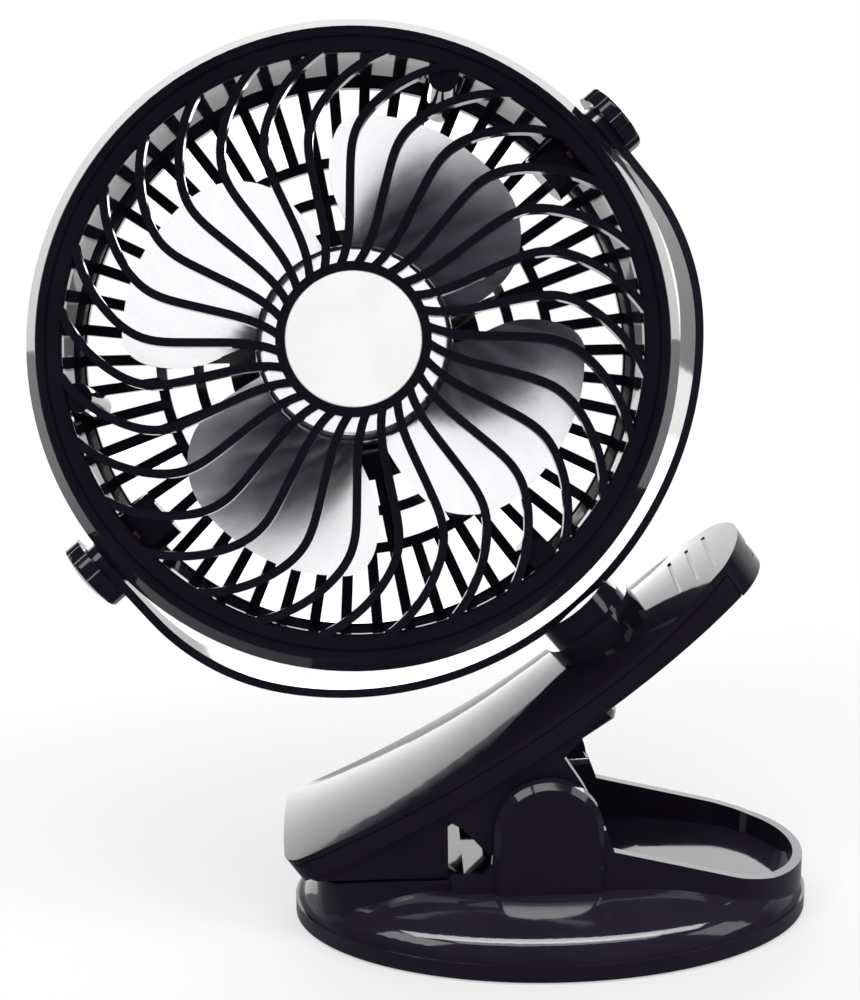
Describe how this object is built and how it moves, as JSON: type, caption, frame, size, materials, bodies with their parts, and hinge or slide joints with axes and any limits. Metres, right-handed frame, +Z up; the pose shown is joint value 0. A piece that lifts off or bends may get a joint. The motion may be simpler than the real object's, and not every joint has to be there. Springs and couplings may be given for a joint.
{
  "type": "clip fan",
  "caption": "Small round caged fan in a tilting, swivelling half-ring yoke on a sprung battery clip whose lower jaw is an oval table foot.",
  "frame": {"origin": "on the table under the middle of the oval foot, in the plane of its rubber pads", "axes": "+Z up; +X along the clip from the mouth to the grip; -Y toward the side that the fan blows at rest"},
  "size_m": [0.1648, 0.0797, 0.1942],
  "materials": {
    "badge_white": "satin, bare",
    "blade_plastic": "gloss, pale",
    "board_green": "solder mask",
    "brass": "turned",
    "cell_wrap": "shrink sleeve",
    "cover_dark": "fine grain",
    "lens_clear": "clear",
    "plated": "plated",
    "rubber_black": "matt",
    "shell_dark": "high gloss",
    "spring_steel": "drawn wire",
    "steel": "plain"
  },
  "bodies": {
    "base": {"lower_jaw": "shell_dark", "base_cover": "cover_dark", "foot_pads": "rubber_black", "base_screws": "steel", "lower_jaw_pad": "rubber_black", "hinge_pin": "steel", "torsion_spring": "spring_steel"},
    "upper_jaw": {"upper_casing": "shell_dark", "lower_casing": "shell_dark", "upper_jaw_pad": "rubber_black", "battery_cell": "cell_wrap", "battery_contacts": "plated", "circuit_board": "board_green", "charging_socket": "plated", "indicator_lens": "lens_clear", "casing_screws": "steel"},
    "power_button": {"power_button": "shell_dark"},
    "yoke": {"yoke": "shell_dark", "swivel_washer": "steel", "swivel_screw": "steel"},
    "head": {"front_grille": "shell_dark", "hub_disc": "badge_white", "rear_shell": "shell_dark", "rear_cap": "shell_dark", "shell_screws": "steel", "pivot_inserts": "brass", "motor_can": "plated", "motor_bush": "brass", "motor_screws": "steel"},
    "rotor": {"rotor": "blade_plastic", "motor_shaft": "steel"},
    "knob_right": {"knob_right": "shell_dark"},
    "knob_left": {"knob_left": "shell_dark"}
  },
  "joints": [
    {"name": "clip_open", "type": "hinge", "parent": "base", "child": "upper_jaw", "pos_m": [-0.002, 0, 0.0273], "axis": [0, 1, 0], "range_deg": [0, 32], "stiffness_Nm_per_rad": 0.9, "springref_deg": -34.38},
    {"name": "yoke_swivel", "type": "hinge", "parent": "upper_jaw", "child": "yoke", "pos_m": [0.00965, 0, 0.066], "axis": [-0.6211, 0, 0.7837], "range_deg": [-180, 180]},
    {"name": "head_tilt", "type": "hinge", "parent": "yoke", "child": "head", "pos_m": [-0.04097, 0, 0.12987], "axis": [0.7666, 0.2079, 0.6076], "range_deg": [-180, 180]},
    {"name": "fan_spin", "type": "hinge", "parent": "head", "child": "rotor", "pos_m": [-0.04097, 0, 0.12987], "axis": [-0.009, -0.9426, 0.3339], "continuous": true},
    {"name": "power_button_press", "type": "slide", "parent": "upper_jaw", "child": "power_button", "axis": [0, -1, 0], "range_m": [0, 0.0006], "stiffness_N_per_m": 800, "springref_m": -0.0005},
    {"name": "knob_right_turn", "type": "hinge", "parent": "head", "child": "knob_right", "pos_m": [-0.04097, 0, 0.12987], "axis": [0.7666, 0.2079, 0.6076], "range_deg": [-180, 180]},
    {"name": "knob_left_turn", "type": "hinge", "parent": "head", "child": "knob_left", "pos_m": [-0.04097, 0, 0.12987], "axis": [-0.7666, -0.2079, -0.6076], "range_deg": [-180, 180]}
  ]
}
